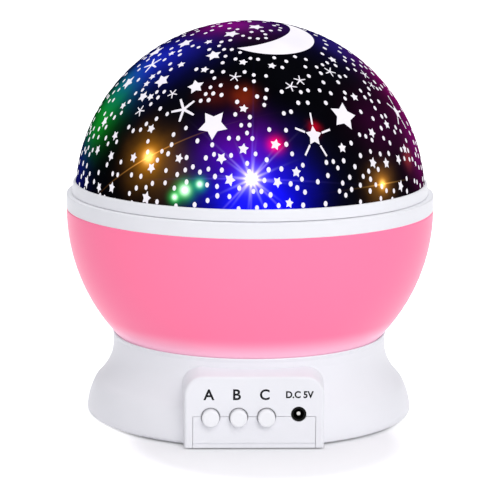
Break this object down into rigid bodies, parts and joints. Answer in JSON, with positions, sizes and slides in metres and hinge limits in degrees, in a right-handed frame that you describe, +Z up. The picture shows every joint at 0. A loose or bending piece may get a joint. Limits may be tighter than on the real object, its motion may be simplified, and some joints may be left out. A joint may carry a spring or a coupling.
{
  "type": "star night light projector",
  "caption": "Rotating night light: a white base with a button panel carries a pink globe whose black dome projects stars and a moon.",
  "frame": {"origin": "on the floor, on the axis that the globe turns about", "axes": "+Z up along the globe's axis, -Y towards the panel with the buttons, +X to the right seen from the panel"},
  "size_m": [0.13, 0.13, 0.1396],
  "materials": {
    "white_shell": "moulded satin-gloss ABS",
    "white_ring": "moulded satin-gloss ABS",
    "white_button": "smooth moulded ABS",
    "pink_bowl": "glossy moulded ABS",
    "printed_dome": "polished polystyrene, printed black with clear stars",
    "white_inner": "plain moulded ABS",
    "nylon": "natural nylon",
    "foot_rubber": "matt die-cut rubber",
    "screw_steel": "zinc-plated",
    "spring_steel": "nickel-plated",
    "motor_steel": "drawn steel can",
    "cell_wrap": "plain printed sleeve",
    "board_green": "solder-masked laminate",
    "lamp_board_white": "white solder-masked laminate",
    "chip_black": "moulded epoxy",
    "switch_black": "moulded",
    "jack_black": "moulded",
    "jack_pin_metal": "plated pin",
    "led_white_lens": "clear epoxy, lit",
    "led_red_lens": "clear epoxy, lit",
    "led_green_lens": "clear epoxy, lit",
    "led_blue_lens": "clear epoxy, lit",
    "lead_red": "plain insulated wire",
    "star_window": "clear place in the dome's print, lit from inside",
    "mark_ink": "black pad print"
  },
  "bodies": {
    "base": {"base_housing": "white_shell", "bottom_cover": "white_shell", "cover_screws": "screw_steel", "rubber_feet": "foot_rubber", "battery_cells": "cell_wrap", "battery_springs": "spring_steel", "contact_plates": "spring_steel", "control_board": "board_green", "board_chips": "chip_black", "tact_switches": "switch_black", "dc_jack": "jack_black", "dc_jack_pin": "jack_pin_metal", "motor_can": "motor_steel", "motor_gearbox": "nylon", "motor_screws": "screw_steel", "led_column": "white_inner", "column_screws": "screw_steel", "thrust_washer": "nylon", "hub_clip": "spring_steel", "lamp_holder": "white_inner", "led_board": "lamp_board_white", "lamp_screws": "screw_steel", "led_white": "led_white_lens", "led_red": "led_red_lens", "led_green": "led_green_lens", "led_blue": "led_blue_lens", "lamp_lead": "lead_red", "motor_lead": "lead_red"},
    "globe": {"lower_bowl": "pink_bowl", "rim_ring": "white_ring", "reflector_disc": "white_inner", "globe_gear": "nylon", "gear_screws": "screw_steel", "hub_bush": "nylon"},
    "dome": {"star_dome": "printed_dome", "dome_ring": "white_ring"},
    "pinion": {"drive_pinion": "nylon", "motor_shaft": "motor_steel"},
    "door": {"battery_door": "white_shell", "battery_door_screw": "screw_steel"},
    "push_a": {"button_a": "white_button", "plunger_a": "switch_black"},
    "push_b": {"button_b": "white_button", "plunger_b": "switch_black"},
    "push_c": {"button_c": "white_button", "plunger_c": "switch_black"}
  },
  "joints": [
    {"name": "globe_spin", "type": "hinge", "parent": "base", "child": "globe", "pos_m": [0, 0, 0.03], "axis": [0, 0, 1], "continuous": true},
    {"name": "pinion_spin", "type": "hinge", "parent": "base", "child": "pinion", "pos_m": [0.02675, -0.02409, 0.02], "axis": [0, 0, 1], "continuous": true},
    {"name": "dome_twist", "type": "hinge", "parent": "globe", "child": "dome", "pos_m": [0, 0, 0.08], "axis": [0, 0, 1], "range_deg": [0, 14]},
    {"name": "battery_door_swing", "type": "hinge", "parent": "base", "child": "door", "pos_m": [0, 0.03585, 0.0006], "axis": [1, 0, 0], "range_deg": [0, 35]},
    {"name": "button_a_press", "type": "slide", "parent": "base", "child": "push_a", "axis": [0, 1, 0], "range_m": [0, 0.001], "stiffness_N_per_m": 400, "springref_m": -0.001},
    {"name": "button_b_press", "type": "slide", "parent": "base", "child": "push_b", "axis": [0, 1, 0], "range_m": [0, 0.001], "stiffness_N_per_m": 400, "springref_m": -0.001},
    {"name": "button_c_press", "type": "slide", "parent": "base", "child": "push_c", "axis": [0, 1, 0], "range_m": [0, 0.001], "stiffness_N_per_m": 400, "springref_m": -0.001}
  ],
  "couplings": [
    {"joint": "pinion_spin", "follows": "globe_spin", "ratio": -5}
  ]
}
